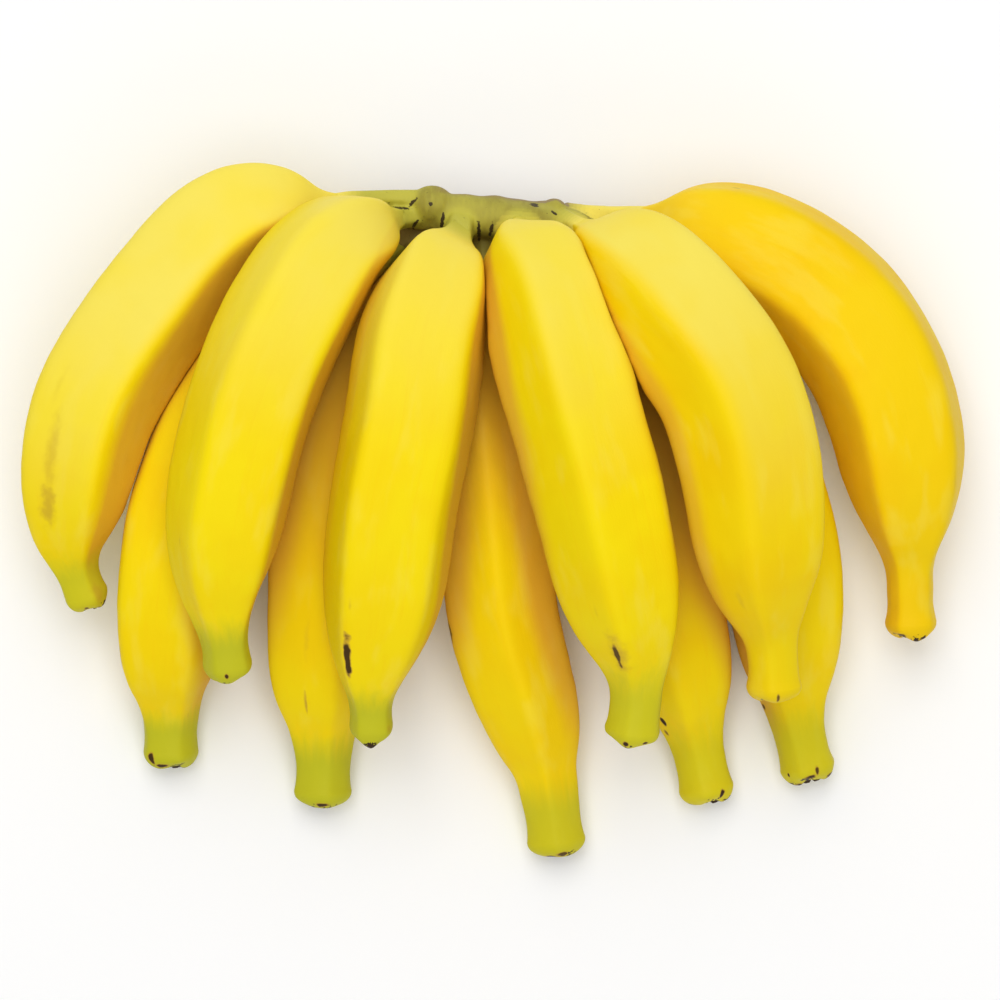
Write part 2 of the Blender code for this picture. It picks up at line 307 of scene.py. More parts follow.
def pressed(name, middles, rings):
    """What share of its reach each point of a coarse grid keeps.

    It is the largest share at which the point lies deeper in its own finger than in a neighbour,
    and clear of the neighbour's stalk, with the gap to spare.
    """
    own = HAND[name]
    centres = np.broadcast_to(middles[:, None], rings.shape).reshape(-1, 3)
    reach = rings.reshape(-1, 3) - centres
    keep = np.ones(len(reach))
    for other_name, other in HAND.items():
        apart = np.linalg.norm(own["places"][:, None] - other["places"][None], axis=2)
        nearest = (apart - own["radii"][:, None] - other["radii"]).min()
        if other_name == name or nearest > PRESS_FROM:
            continue

        def room(share, chosen):
            points = centres[chosen] + reach[chosen] * share[:, None]
            body = clearance(points, other, ~other["stalk"]) - clearance(points, own)
            return np.minimum(body, clearance(points, other, other["stalk"])) - PRESS_GAP

        chosen = np.flatnonzero(room(keep, slice(None)) < 0)
        low, high = np.zeros(len(chosen)), keep[chosen]
        for _ in range(HALVINGS):
            half = (low + high) / 2
            free = room(half, chosen) > 0
            low, high = np.where(free, half, low), np.where(free, high, half)
        keep[chosen] = low
    return keep.reshape(rings.shape[:2])


print("gap left between two pressed fingers:", PRESS_GAP, "mm")

# %% [markdown]
# ## How much of the sky the neighbours take
#
# Peel that faces another finger gets little light from the room and much from that finger, so it
# turns a deep orange. Lamps can't be placed finely enough for that, and the colour should stay
# when the hand is used elsewhere. So each point is given the share of its sky that the other
# fingers cover, which the peel's material reads and paints in as orange shade.

# %% How much of the sky the neighbours take
ROD_STEP = 8  # every eighth ball of a neighbour stands for a rod
MOST_TAKEN = 2


def covered(name, middles, rings):
    """How much of the sky over each point of a coarse grid the neighbours take.

    A neighbour counts as a row of rods. A rod of radius r and length h, at distance d and at the
    angle t from straight outward, takes 2 r h cos(t) / (pi d^2) of what the point sees. Rods
    that hide each other count twice, so the sum may pass 1 in a deep gap.
    """
    outward = rings - middles[:, None]
    outward /= np.linalg.norm(outward, axis=2)[..., None]
    taken = np.zeros(rings.shape[:2])
    for other_name, other in HAND.items():
        if other_name == name:
            continue
        rod = ROD_STEP * (other["lengths"][1] - other["lengths"][0])
        for place, radius in zip(other["places"][::ROD_STEP], other["radii"][::ROD_STEP]):
            reach = place - rings
            far = np.linalg.norm(reach, axis=2)
            facing = np.maximum((reach * outward).sum(axis=2) / far, 0)
            taken += 2 * radius * rod * facing / (np.pi * np.maximum(far, radius) ** 2)
    return np.minimum(taken, MOST_TAKEN)


print("a finger counts as", len(range(0, SAMPLES, ROD_STEP)), "rods")

# %% [markdown]
# ## From a grid of points to a piece
#
# Every surface here is a grid: rings of points along the length, and the same number of points
# in each ring. Its quads are worked out as whole arrays, and foreach_set writes them into the
# mesh in one go, which is far quicker than adding faces one by one. A fan of triangles closes
# each end, so the solid has no hole.


# %% From a grid of points to a mesh
def grid_faces(rows, around):
    """Corner numbers of the quads between neighbouring rings, and of the fans over both ends."""
    ring, here = np.meshgrid(np.arange(rows - 1), np.arange(around), indexing="ij")
    following = (here + 1) % around
    quads = np.stack([
        ring * around + here, ring * around + following,
        (ring + 1) * around + following, (ring + 1) * around + here], axis=-1).reshape(-1, 4)
    here = np.arange(around)
    following = (here + 1) % around
    last_ring, middle = (rows - 1) * around, rows * around
    start = np.stack([following, here, np.full_like(here, middle)], axis=1)
    end = np.stack(
        [last_ring + here, last_ring + following, np.full_like(here, middle + 1)], axis=1)
    return quads, np.concatenate([start, end])


def with_ends(surface):
    """The points of a grid as a list, and after them the middles of its first and last ring."""
    return np.concatenate([
        surface.reshape(-1, 3), surface[0].mean(axis=0)[None], surface[-1].mean(axis=0)[None]])


def mesh_of(name, points, quads, triangles):
    """A mesh of quads and triangles, written with foreach_set. The points are in millimetres."""
    mesh = bpy.data.meshes.new(name)
    mesh.vertices.add(len(points))
    mesh.vertices.foreach_set("co", (points * MM).astype(np.float32).ravel())
    mesh.loops.add(quads.size + triangles.size)
    mesh.loops.foreach_set("vertex_index", np.concatenate([quads.ravel(), triangles.ravel()]))
    starts = np.concatenate([
        4 * np.arange(len(quads)), quads.size + 3 * np.arange(len(triangles))])
    mesh.polygons.add(len(starts))
    mesh.polygons.foreach_set("loop_start", starts)
    mesh.update(calc_edges=True)
    mesh.validate()
    mesh.shade_smooth()
    return mesh


quads, triangles = grid_faces(3, 4)
print("three rings of four points have", len(quads), "quads and", len(triangles), "triangles")

# %% [markdown]
# ## From a mesh to a piece of the hand
#
# A piece rides on the hand's only body and stands for one CAD node, which is hidden. What its
# material needs to know at each point, such as the place on the skin, is stored in the mesh as an
# attribute. A painted map could carry that too, but it would need an unwrapped surface.


# %% From a mesh to a piece of the hand
def store(mesh, name, values):
    """Writes one number or one vector per point into the mesh as an attribute."""
    kind, field = ("FLOAT", "value") if values.ndim == 1 else ("FLOAT_VECTOR", "vector")
    attribute = mesh.attributes.new(name, kind, "POINT")
    attribute.data.foreach_set(field, values.astype(np.float32).ravel())


def piece_of(name, mesh, slot, *nodes):
    """The object of a finished mesh, which rides on the hand and stands for its CAD nodes."""
    piece = bpy.data.objects.new(name, mesh)
    scene.collection.objects.link(piece)
    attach(piece, "root")
    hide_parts(*nodes)
    return piece


print("nodes that pieces will stand for:", len(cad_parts))

# %% [markdown]
# ## Round the spine
#
# A point on a finger is found by its length along the spine and its angle from the top. At each
# length two directions span the section: aside, which is kept level, and up, which is square to
# it and to the spine. A level aside keeps the section from twisting where the spine bends, so
# the ridges run straight from stalk to tip, as they do on the fruit.
#
# The same two numbers, laid out as a straight tube, are the skin coordinates. Streaks and
# bruises follow the peel and not the room, so the materials read those.


# %% Round the spine
def tube(grow, at, angles, radii):
    """Points round the spine: middle + radius * (sin(angle) * aside + cos(angle) * up)."""
    middles = columns(grow["lengths"], grow["places"], at)
    directions = np.gradient(grow["places"], grow["lengths"], axis=0)
    ahead = columns(grow["lengths"], directions, at)
    ahead /= np.linalg.norm(ahead, axis=1)[:, None]
    aside = np.cross((0.0, 0.0, 1.0), ahead)
    aside /= np.linalg.norm(aside, axis=1)[:, None]
    up = np.cross(ahead, aside)
    sine, cosine = np.sin(angles)[None, :, None], np.cos(angles)[None, :, None]
    out = aside[:, None] * sine + up[:, None] * cosine
    return middles, ahead, middles[:, None] + out * radii[..., None]


def straightened(radius, at, angles):
    """Skin coordinates: (radius * cos(angle), radius * sin(angle), length along the spine)."""
    return np.stack(np.broadcast_arrays(
        radius * np.cos(angles), radius * np.sin(angles), at[:, None]), axis=-1)


grow = HAND["finger_back_3"]
sample = tube(grow, grow["lengths"][:1], np.zeros(1), grow["radii"][:1, None])[2][0, 0]
print("the highest point where finger_back_3 begins, mm:", sample.round(1))

# %% [markdown]
# ## The form of a finger
#
# The reach of the skin is radius times section. Towards the tip the ridges melt into a round
# bottle neck, and the very end closes in a rounded edge. Then the neighbours press their flats
# into it. At the middle of the tip is the scar where the blossom fell: a small ragged dent in a
# rim with two or three soft lobes.

# %% The form of a finger
SIDES = 112
COARSE_SIDES, COARSE_RINGS = 56, 90
BODY_RINGS, TIP_RINGS = 165, 44
TIP_FROM = 7.0  # the rings stand closer over this length at the end
ROUNDING = 5.0  # length of the rounded end
ROUND_POWER = 2.2  # 2 would close the end in a half circle
OVERLAP = 1.5  # the finger starts this far inside its stalk


def ring_lengths(finger, end):
    """Where the rings stand: evenly along the body, and closer and closer round the tip."""
    body = np.linspace(finger.stalk - OVERLAP, end - TIP_FROM, BODY_RINGS)
    turn = np.linspace(0, np.pi / 2, TIP_RINGS)[1:-1]
    neck = np.linspace(end - TIP_FROM, end - ROUNDING, TIP_RINGS // 2)[1:]
    tip = np.concatenate([neck, end - ROUNDING * (1 - np.sin(turn))])
    return np.concatenate([body, tip[:-1]])


def bare_reach(finger, grow, at, angles, chance):
    """The radii along a finger, and how far its skin reaches before a neighbour presses on it.

    Reach is radius times section. The end closes as (1 - t^power)^(1 / power), with t from 0 to
    1 over the rounding.
    """
    end = grow["lengths"][-1]
    neck = end - finger.tip
    ridged = 0.95 - 0.5 * ease(neck - 6, neck + 8, at)
    shape = 1 + ridged[:, None] * (section(angles, finger.turn, chance)[None] - 1)
    radii = np.interp(np.minimum(at, end - ROUNDING), grow["lengths"], grow["radii"])
    late = np.clip((at - (end - ROUNDING)) / ROUNDING, 0, 1)
    radii = radii * (1 - late**ROUND_POWER) ** (1 / ROUND_POWER)
    radii *= 1 - 0.05 * (1 - ease(finger.stalk - OVERLAP, finger.stalk + OVERLAP, at))
    return radii, radii[:, None] * shape


def from_neighbours(name, seed, at, angles):
    """What share of its reach a finger keeps, and how much of its sky the others take.

    Both are found on a coarse grid, and read from it with straight steps both ways.
    """
    finger, grow = FINGERS[name], HAND[name]
    coarse_at = np.linspace(at[0], at[-1], COARSE_RINGS)
    coarse_angles = 2 * np.pi * np.arange(COARSE_SIDES) / COARSE_SIDES
    coarse_shape = section(coarse_angles, finger.turn, np.random.default_rng(seed))
    coarse_radii = np.interp(coarse_at, grow["lengths"], grow["radii"])[:, None] * coarse_shape
    middles, _, rings = tube(grow, coarse_at, coarse_angles, coarse_radii)

    def fine(table):
        rows = columns(coarse_at, table, at)
        wrapped = np.concatenate([rows, rows[:, :1]], axis=1)
        knots = np.append(coarse_angles, 2 * np.pi)
        return columns(knots, wrapped.T, angles).T

    return fine(pressed(name, middles, rings)), fine(covered(name, middles, rings))


def tip_relief(finger, end, at, angles, reach, chance):
    """How far each point of the tip sinks along the spine, and how much of the scar it has."""
    circle = np.stack([3 * np.cos(angles), 3 * np.sin(angles), 0 * angles], axis=1)
    ragged = waves(circle, chance, 4.0)
    lobes = np.cos(2 * angles + chance.uniform(0, 6))
    lobes = lobes + 0.7 * np.cos(3 * angles + chance.uniform(0, 6))
    rim = ease(end - 3.5, end - 0.8, at)[:, None] * (ragged + 2 * lobes)[None]
    dent = 1 - ease(0.25, 0.55, reach / finger.tip_radius)
    dent *= ease(end - ROUNDING, end - 0.6 * ROUNDING, at)[:, None]
    return 0.25 * rim + 0.9 * dent - 0.5 * dent**6, dent + 0.25 * np.abs(rim)


for name in ("finger_front_2", "finger_front_6"):
    rings = ring_lengths(FINGERS[name], HAND[name]["lengths"][-1])
    print(f"{name}: {len(rings)} rings, {SIDES} points round")

# %% [markdown]
# ## Bloom, painted sheen and painted shade
#
# The shoulders of a finger carry a pale waxy bloom and, with it, a painted sheen on the facet
# that faces away from the middle of the hand, where the light falls. The front row lies on top
# in full light, so there only the flanks that face inwards take their whole painted shade.


# %% Bloom, painted sheen and painted shade
def outward_angle(finger, angles):
    """Degrees round the section, from the ridge nearest to the top towards the outside."""
    side = np.sign(finger.spine[-1][0])
    ridge = -side * (-side * finger.turn % (360 / FACES))
    return (side * (np.degrees(angles) - ridge) + 180) % 360 - 180


def bloom_sheen_and_shade(name, at, angles, taken):
    """How much bloom and painted sheen each point has, and how much of its sky counts as taken
    for the painted shade.
    """
    finger, end = FINGERS[name], HAND[name]["lengths"][-1]
    outer = outward_angle(finger, angles)
    share = ((at - finger.stalk) / (end - finger.stalk))[:, None]
    # the facet where the light falls gets the painted sheen along with the bloom
    facet = ease(-7, 9, outer) * ease(160, 90, outer)
    bloom = ease(finger.bloom, finger.bloom - 0.5, share) * facet
    if "front" in name:
        # painted shade: the inner flanks take it whole, so it ends at the ridge
        inner = ease(4, -5, outer) * ease(-150, -100, outer) * ease(0.03, 0.15, share)
        taken = (0.7 + 0.3 * inner) * np.minimum(taken, 0.9)
    return bloom, taken


for name in ("finger_front_2", "finger_back_4"):
    top = outward_angle(FINGERS[name], np.zeros(1))[0]
    print(f"{name}: its top is {top:.0f} degrees outside the ridge")

# %% [markdown]
# ## The eleven fingers
#
# Now a finger is put together: its reach, its flats, a little unevenness, its tip, and what its
# peel needs. There are two sets of skin coordinates. One keeps the real girth, for streaks and
# grain that should be equally fine all over. The other, the place, keeps one girth from end to
# end, so a mark on the thin tip keeps the form that it has on the body.

# %% The eleven fingers
FIRST_SEED = 40
SWELLINGS = ((0.16, 26, 3, 12), (0.04, 6, 2, 6))  # height, wavelength, radii where they come in


def finger_surface(name, seed):
    """All points of one finger, and what the peel needs to know at each."""
    finger, grow = FINGERS[name], HAND[name]
    chance = np.random.default_rng(seed)
    end = grow["lengths"][-1]
    at = ring_lengths(finger, end)
    angles = 2 * np.pi * (np.arange(SIDES) + 0.5) / SIDES

    radii, reach = bare_reach(finger, grow, at, angles, chance)
    keep, taken = from_neighbours(name, seed, at, angles)
    reach *= keep
    thick = np.interp(at, grow["lengths"], grow["radii"])
    skin = straightened(thick[:, None], at, angles)
    for height, size, low, high in SWELLINGS:
        reach += height * waves(skin, chance, size) * ease(low, high, radii)[:, None]

    _, ahead, points = tube(grow, at, angles, reach)
    sunk, scar = tip_relief(finger, end, at, angles, reach, chance)
    points -= ahead[:, None] * sunk[..., None]
    points[..., 2] = np.maximum(points[..., 2], 0.0)
    bloom, shaded = bloom_sheen_and_shade(name, at, angles, taken)
    to_end, green = (end - at) / finger.tip, ease(finger.green_to + 7, finger.green_to - 7, at)
    return points, {
        "skin": skin, "place": straightened(finger.radius, at, angles), "shaded": shaded,
        "scar": scar, "bloom": bloom,
        "to_end": np.broadcast_to(to_end[:, None], reach.shape),
        "stalk_green": np.broadcast_to(green[:, None], reach.shape)}


def finger_piece(name, seed):
    """One finger as a piece: the grid closed with a fan at each end, and its attributes."""
    points, facts = finger_surface(name, seed)
    rows = len(points)
    mesh = mesh_of(name + "_fruit", with_ends(points), *grid_faces(rows, SIDES))
    for fact, table in facts.items():
        flat = table.reshape(rows * SIDES, -1)
        closed = np.concatenate([flat, flat[:1], flat[-1:]])
        store(mesh, fact, closed[:, 0] if closed.shape[1] == 1 else closed)
    return piece_of(name + "_fruit", mesh, "peel", name)


FRUITS = {name: finger_piece(name, FIRST_SEED + i) for i, name in enumerate(FINGERS)}
for name, piece in FRUITS.items():
    print(f"{piece.name}: {len(piece.data.vertices)} points")

# %% [markdown]
# ## The parts of the crown
#
# The crown is what is left of the bunch's stem: a woody cushion with a dry cut on the side away
# from the fruit, out of which each stalk grows. Its parts are grids too: a bar with a squarish
# section, eleven short tubes, and two egg shapes where a stalk swells into a knob. Three of the
# stalks stay thicker than their finger begins until they have nearly reached it.

# %% The parts of the crown
BAR_MIDDLE, BAR_HALF, BAR_SLOPE = (2.0, 86.0, 14.5), (33.0, 6.5, 17.0), -0.10
SQUARENESS = 0.7  # 1 is an ellipse, and less is nearer to a square
KNOBS = [((-17.2, 90.0, 27.0), (6.4, 5.5, 5.2)), ((18.3, 87.6, 24.0), (4.2, 4.4, 4.0))]
THICKER = {"finger_front_1": 0.35, "finger_front_6": 0.15, "finger_back_1": 0.5}  # by this share


def to_power(values, power):
    """The values to a power, with their signs kept."""
    return np.sign(values) * np.abs(values) ** power


def bar_surface():
    """The cushion: x runs along it, and its section is cos and sin to a power under 1."""
    place = 0.985 * np.sin(np.linspace(-1, 1, 90) * np.pi / 2)[:, None]
    angles = np.linspace(0, 2 * np.pi, 72, endpoint=False)[None]
    across = to_power(np.cos(angles), SQUARENESS)
    upward = to_power(np.sin(angles), SQUARENESS)
    size = (1 - np.abs(place) ** 3) ** 0.4
    along = place * BAR_HALF[0]
    points = np.stack(np.broadcast_arrays(
        BAR_MIDDLE[0] + along,
        BAR_MIDDLE[1] + BAR_SLOPE * along + size * BAR_HALF[1] * across,
        np.maximum(BAR_MIDDLE[2] + size * BAR_HALF[2] * upward, 0.0)), axis=-1)
    points[..., 1] += 0.45 * waves(points, np.random.default_rng(7), 11.0) * np.sign(across)
    return points


def knob_surface(middle, half):
    """A small egg shape: the half widths times (sin u cos v, sin u sin v, -cos u)."""
    fall = np.linspace(0.12, np.pi - 0.12, 14)[:, None]
    angles = np.linspace(0, 2 * np.pi, 24, endpoint=False)[None]
    ball = np.stack(np.broadcast_arrays(
        np.sin(fall) * np.cos(angles), np.sin(fall) * np.sin(angles), -np.cos(fall)), axis=-1)
    return np.asarray(middle) + ball * np.asarray(half)


def stalk_surface(name):
    """A stalk: the finger's own spine and section, a little wider where it leaves the cushion."""
    finger, grow = FINGERS[name], HAND[name]
    at = np.linspace(0.0, finger.stalk + OVERLAP, 44)
    angles = np.linspace(0, 2 * np.pi, 28, endpoint=False)
    radii = np.interp(at, grow["lengths"], grow["radii"]) * (1 + 0.3 * np.exp(-((at / 8.0) ** 2)))
    radii *= 1 - 0.08 * ease(finger.stalk - OVERLAP, finger.stalk + OVERLAP, at)
    radii *= 1 + THICKER.get(name, 0.0) * ease(finger.stalk + 1, finger.stalk - 6, at)
    shape = section(angles, finger.turn, np.random.default_rng(3))
    points = tube(grow, at, angles, radii[:, None] * shape)[2]
    back = BAR_MIDDLE[1] + BAR_SLOPE * (points[..., 0] - BAR_MIDDLE[0]) + BAR_HALF[1] - 0.5
    inside = np.minimum(points[..., 1], back)
    points[..., 1] = np.where(at[:, None] < 5, inside, points[..., 1])
    return points


CROWN_PARTS = [bar_surface()] + [knob_surface(*knob) for knob in KNOBS]
CROWN_PARTS += [stalk_surface(name) for name in FINGERS]
print("the crown is put together from", len(CROWN_PARTS), "parts")

# %% [markdown]
# ## Melting the crown together
#
# Grown wood has no seams. Boolean unions would leave sharp valleys where the parts meet, so the
# parts are melted together with a voxel remesh, and a smooth modifier softens what is left of
# the valleys and of the voxels' steps.

# %% Melting the crown together
VOXEL = 0.5
SMOOTHINGS = 9


def melted(name, surfaces):
    """Several closed grids as one smooth mesh: joined, remeshed in voxels and softened."""
    points, quads, triangles, count = [], [], [], 0
    for surface in surfaces:
        four, three = grid_faces(*surface.shape[:2])
        points.append(with_ends(surface))
        quads.append(four + count)
        triangles.append(three + count)
        count += len(points[-1])
    rough = mesh_of(
        name + "_rough", np.concatenate(points), np.concatenate(quads), np.concatenate(triangles))
    helper = bpy.data.objects.new(name + "_rough", rough)
    scene.collection.objects.link(helper)
    melt = helper.modifiers.new("melt", "REMESH")
    melt.mode = "VOXEL"
    melt.voxel_size = VOXEL * MM
    soften = helper.modifiers.new("soften", "SMOOTH")
    soften.factor = 0.5
    soften.iterations = SMOOTHINGS
    bpy.context.view_layer.update()
    view = bpy.context.evaluated_depsgraph_get()
    mesh = bpy.data.meshes.new_from_object(helper.evaluated_get(view))
    bpy.data.objects.remove(helper)
    bpy.data.meshes.remove(rough)
    mesh.name = name
    mesh.shade_smooth()
    return mesh


CROWN_MESH = melted("crown_wood", CROWN_PARTS)
print("points of the melted crown:", len(CROWN_MESH.vertices))

# %% [markdown]
# ## Zones of the wood
#
# The wood changes from place to place: green on the cushion, yellower along the stalks, and
# brown on the cut and at its back. Painted shade browns it towards the floor and darkens the
# slits where two stalks part. A remeshed surface has no grid to say where a point lies, so each
# point looks for the stalks that are nearest to it.


# %% Zones of the wood
def stalks_round(points):
    """For each stalk and point: the gap to its skin, the length along it and how green it is."""
    gaps, at, green = [], [], []
    for name, finger in FINGERS.items():
        grow = HAND[name]
        chosen = grow["lengths"] < finger.stalk + 4
        reach = np.linalg.norm(points[:, None] - grow["places"][chosen][None], axis=2)
        nearest = reach.argmin(axis=1)
        gaps.append(reach.min(axis=1) - grow["radii"][chosen][nearest])
        at.append(grow["lengths"][chosen][nearest])
        green.append(ease(finger.green_to + 5, finger.green_to - 5, at[-1]))
    return np.array(gaps), np.array(at), np.array(green)


def crown_piece(mesh):
    """The crown as a piece. Its wood has no long axis, so the points are its skin coordinates."""
    points = np.empty(3 * len(mesh.vertices), np.float32)
    mesh.vertices.foreach_get("co", points)
    points = points.reshape(-1, 3).astype(float) / MM
    gaps, at, green = stalks_round(points)
    everyone = np.arange(len(points))
    first, second = np.argsort(gaps, axis=0)[:2]
    on_stalk = ease(3.0, 0.8, gaps[first, everyone]) * ease(3, 9, at[first, everyone])

    x, y, z = points.T
    behind = y - BAR_MIDDLE[1] - BAR_SLOPE * (x - BAR_MIDDLE[0])
    brown_back = 0.6 * ease(4.8, 6.2, behind) * ease(18, 13, np.abs(x))
    cut_ends = ease(24, 19, np.abs(x - BAR_MIDDLE[0])) * ease(28, 25, z)
    # where a second stalk comes close the wood lies in a slit, which gets painted shade
    between = ease(1.3, 0.1, gaps[second, everyone])
    store(mesh, "skin", points)
    store(mesh, "stalk_green", np.where(on_stalk > 0.1, green[first, everyone], 1.0))
    store(mesh, "on_stalk", on_stalk)
    # low: painted shade that browns the crown towards the floor, together with the brown of its
    # back near the cut
    store(mesh, "low", np.maximum(ease(28, 15, z), brown_back))
    store(mesh, "slit_shade", between * ease(14, 9, at[first, everyone]))
    store(mesh, "cut", ease(5.0, 6.1, behind) * cut_ends)
    return piece_of("crown_wood", mesh, "crown", "crown")


CROWN = crown_piece(CROWN_MESH)
print(f"{CROWN.name} stands for the crown and the {len(FINGERS)} stalks")

# %% [markdown]
# ## Helpers for materials
#
# A node tree is easier to read as short calls. Each call adds one node, links the inputs that
# are sockets, and sets the others as plain values.


# %% Helpers for materials
def add(tree, kind, inputs=None, **settings):
    """Adds a node, sets its settings, and links or sets its inputs."""
    node = tree.nodes.new(kind)
    for key, value in settings.items():
        setattr(node, key, value)
    for key, value in (inputs or {}).items():
        if isinstance(value, bpy.types.NodeSocket):
            tree.links.new(value, node.inputs[key])
        else:
            node.inputs[key].default_value = value
    return node


def sums(tree, operation, first, second=0.0):
    """One step of arithmetic on two numbers."""
    return add(tree, "ShaderNodeMath", {0: first, 1: second}, operation=operation).outputs[0]


def vectors(tree, operation, *values):
    """One step of arithmetic on vectors. LENGTH gives a number, the others give a vector."""
    node = add(tree, "ShaderNodeVectorMath", dict(enumerate(values)), operation=operation)
    return node.outputs["Value" if operation == "LENGTH" else "Vector"]


def step(tree, value, low, high, to_low=0.0, to_high=1.0):
    """A smooth step from one value to another."""
    return add(tree, "ShaderNodeMapRange", {
        "Value": value, "From Min": low, "From Max": high, "To Min": to_low, "To Max": to_high},
        interpolation_type="SMOOTHSTEP").outputs[0]


def blend(tree, share, first, second):
    """Two colours mixed: the first at share 0, the second at share 1."""
    node = add(tree, "ShaderNodeMix", {0: share, 6: first, 7: second}, data_type="RGBA")
    return node.outputs[2]


def noise(tree, vector, scale, detail=3.0, stretch=(1.0, 1.0, 1.0), offset=(0.0, 0.0, 0.0)):
    """Cloudy noise, squeezed by the stretch so that it can run along the peel."""
    placed = add(
        tree, "ShaderNodeMapping", {"Vector": vector, "Scale": stretch, "Location": offset})
    return add(tree, "ShaderNodeTexNoise", {
        "Vector": placed.outputs[0], "Scale": scale, "Detail": detail}).outputs["Fac"]


def attribute(tree, name, field="Fac"):
    """A number or a vector that was stored on the points."""
    return add(tree, "ShaderNodeAttribute", attribute_name=name).outputs[field]


def fresh(name):
    """A new node material, its tree and its shader."""
    material = bpy.data.materials.new(name)
    material.use_nodes = True
    return material, material.node_tree, material.node_tree.nodes["Principled BSDF"]


print("helpers:", ", ".join(
    helper.__name__ for helper in (add, sums, vectors, step, blend, noise, attribute, fresh)))

# %% [markdown]
# ## Marks on the peel
#
# Each banana carries a few dark scratches and brown bruises. A painted image could hold them,
# but nodes on the skin coordinates stay sharp at any distance and have no seam. A mark is a long
# ellipse at a place along and round its finger. Its distance from the middle is measured on the
# straight tube of one girth, a little noise makes its border wander, and the deeper it is, the
# more sharply it ends.

# %% Marks on the peel
# millimetres along the spine, degrees from the top, length, width and depth
MARKS = {
    "finger_front_1": [
        (143, -24, 24, 5, 0.3), (156.2, -24, 14, 6, 0.42), (125.8, -34, 12, 2.5, 0.16),
        (189, -10, 1.6, 1.4, 0.9), (185.8, 40, 8, 5, 0.35)],
    "finger_front_2": [
        (173.2, -2, 1.8, 1.3, 0.95), (134.4, -54, 4, 0.8, 0.35), (163.2, -72, 7, 1.2, 0.3)],
    "finger_front_3": [
        (146, -28, 15, 2.3, 0.95), (129.2, -26, 5, 1, 0.25), (170, 58, 3, 3, 0.35)],
    "finger_front_4": [
        (145, -24, 10, 2.3, 0.9), (145.4, -22, 17, 7, 0.4), (90.2, 68, 4.5, 0.9, 0.7),
        (175.4, -14, 1.6, 2, 1), (175, 32, 1.3, 2, 0.95), (131, -32, 7, 1.5, 0.18)],
    "finger_front_5": [
        (180.4, -36, 1.3, 2.4, 1), (177.6, 6, 3, 1.2, 0.85), (145.2, -32, 9, 3, 0.22)],
    "finger_front_6": [
        (51.8, 64, 2.6, 1.4, 0.6), (193, -34, 1.6, 3, 0.95), (146.6, 44, 9, 1.4, 0.2)],
    "finger_back_1": [
        (159.2, -54, 9, 1.4, 0.5), (193, -38, 4, 2.2, 0.95), (195.4, -18, 1.4, 5, 0.95),
        (178, 44, 3, 1, 0.25)],
    "finger_back_2": [
        (148, -20, 8, 1.2, 0.5), (182.8, 2, 1.4, 4, 0.95), (128.4, -20, 14, 2.5, 0.2)],
    "finger_back_3": [
        (116.2, -70, 6, 1.8, 0.8), (190.8, -24, 1.6, 5, 0.95), (189.8, 12, 1.4, 4, 0.9)],
    "finger_back_4": [
        (182.4, 32, 3.2, 1.8, 1), (155.6, -58, 3.5, 1.8, 1), (160, -66, 3, 1.2, 0.8)],
    "finger_back_5": [
        (195.6, -64, 2.2, 3.5, 1), (193.6, -4, 2.6, 3.5, 0.95), (192, 14, 3, 1.5, 0.9),
        (191.6, -54, 1.8, 1.2, 1), (194.4, 62, 1.4, 3, 0.9), (170.8, -82, 2.4, 1.6, 0.9),
        (142, 66, 5, 1.2, 0.35)],
}
WANDER = 1.2  # how far a mark's border wanders, in half widths from side to side


def marks_on(tree, name, skin):
    """How deep the deepest mark is at each point of a finger.

    A mark's own distance is |(point - middle) * 2 / (width, width, length) + wobble|.
    """
    finger, grow = FINGERS[name], HAND[name]
    place = attribute(tree, "place", "Vector")
    ripple = add(tree, "ShaderNodeTexNoise", {"Vector": skin, "Scale": 0.35, "Detail": 2.0})
    wobble = vectors(
        tree, "MULTIPLY_ADD", ripple.outputs["Color"], (WANDER,) * 3, (-WANDER / 2,) * 3)
    deepest = None
    for along, angle, length, width, depth in MARKS[name]:
        width *= finger.radius / np.interp(along, grow["lengths"], grow["radii"])
        middle = (finger.radius * np.cos(np.radians(angle)),
                  finger.radius * np.sin(np.radians(angle)), along)
        apart = vectors(tree, "SUBTRACT", place, middle)
        scaled = vectors(
            tree, "MULTIPLY_ADD", apart, (2 / width, 2 / width, 2 / length), wobble)
        far = vectors(tree, "LENGTH", scaled)
        mark = step(tree, far, 1.4 - 0.15 * depth, 0.7 * depth - 0.1, 0.0, depth)
        deepest = mark if deepest is None else sums(tree, "MAXIMUM", deepest, mark)
    return deepest


print(sum(len(marks) for marks in MARKS.values()), "marks")

# %% [markdown]
# ## Peel
#
# Ripe peel is a strong lemon yellow, more golden on some fingers. It has faint streaks along its
# fibres and faint pale dabs, and a pale bloom with a painted sheen makes the shoulders milky.
# Where the neighbours take the sky, painted shade deepens it to orange. Over that lie a green
# bottle neck, the green that comes down from the stalk, the marks and the brown ragged scar at
# the end. The colours are laid over each other in that order, each by its own share, as a
# painter glazes. The gloss is low and silky.

# %% Peel
LEMON = (0.92, 0.715, 0.003, 1.0)
GOLDEN = (0.905, 0.575, 0.002, 1.0)
TIP_GREEN = (0.53, 0.51, 0.018, 1.0)
STALK_GREEN = (0.52, 0.48, 0.055, 1.0)
# pale of the waxy bloom, also used as painted sheen where the light falls
BLOOM_AND_SHEEN = (0.90, 0.745, 0.105, 1.0)
SHADE = (0.62, 0.20, 0.06, 1.0)
BRUISE = (0.50, 0.29, 0.03, 1.0)
SCAR = (0.045, 0.022, 0.008, 1.0)


